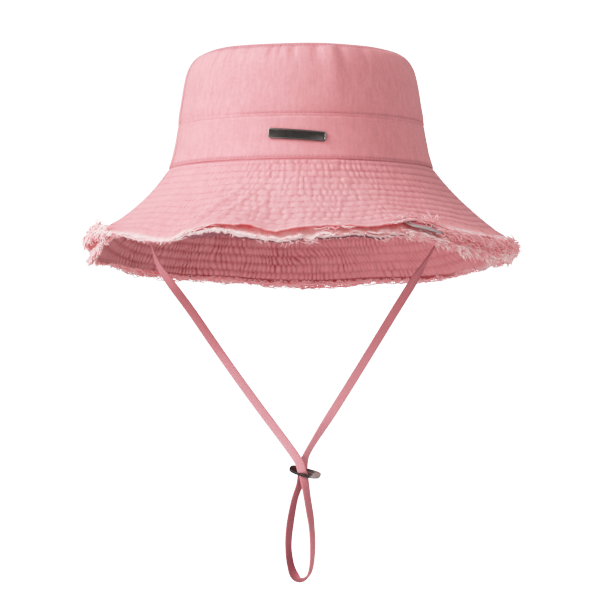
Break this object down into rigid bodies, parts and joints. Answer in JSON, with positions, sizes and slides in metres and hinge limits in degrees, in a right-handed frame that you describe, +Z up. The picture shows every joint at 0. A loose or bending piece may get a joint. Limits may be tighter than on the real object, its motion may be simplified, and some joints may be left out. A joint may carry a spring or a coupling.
{
  "type": "bucket hat",
  "caption": "Cotton bucket hat with a wavy quilted brim of layered cloth, frayed raw edges, a flat chin strap, a metal slider and a blank metal bar on the band.",
  "frame": {"origin": "middle of the head opening, in the plane of the seam between crown and brim", "axes": "+Z up through the crown tip, -Y to the front of the hat, +X to the wearer's left"},
  "size_m": [0.2866, 0.2923, 0.3541],
  "materials": {
    "canvas": "pink cotton canvas, outer face",
    "under_canvas": "pink cotton canvas, under layer",
    "interlining": "grey woven stiffening",
    "webbing": "flat woven cotton tape",
    "metal": "gunmetal plating"
  },
  "bodies": {
    "hat": {"crown_tip": "canvas", "crown_front_panel": "canvas", "crown_back_panel": "canvas", "band_front": "canvas", "band_back": "canvas", "sweatband": "webbing", "brim_top_front": "canvas", "brim_top_back": "canvas", "brim_interlining_front": "interlining", "brim_interlining_back": "interlining", "brim_under_front": "under_canvas", "brim_under_back": "under_canvas", "left_strap_tab": "webbing", "right_strap_tab": "webbing", "front_plate": "metal", "plate_washer_left": "metal", "plate_washer_right": "metal"},
    "chin_strap": {"chin_strap_left": "webbing", "chin_strap_right": "webbing", "chin_strap_loop": "webbing"},
    "slider": {"slider": "metal"}
  },
  "joints": [
    {"name": "strap_swing", "type": "hinge", "parent": "hat", "child": "chin_strap", "pos_m": [0, 0, -0.0245], "axis": [1, 0, 0], "range_deg": [-70, 55]},
    {"name": "slider_slide", "type": "slide", "parent": "chin_strap", "child": "slider", "axis": [0, 0, 1], "range_m": [-0.05, 0.1], "deforming": ["chin_strap_left", "chin_strap_right", "chin_strap_loop"]}
  ]
}
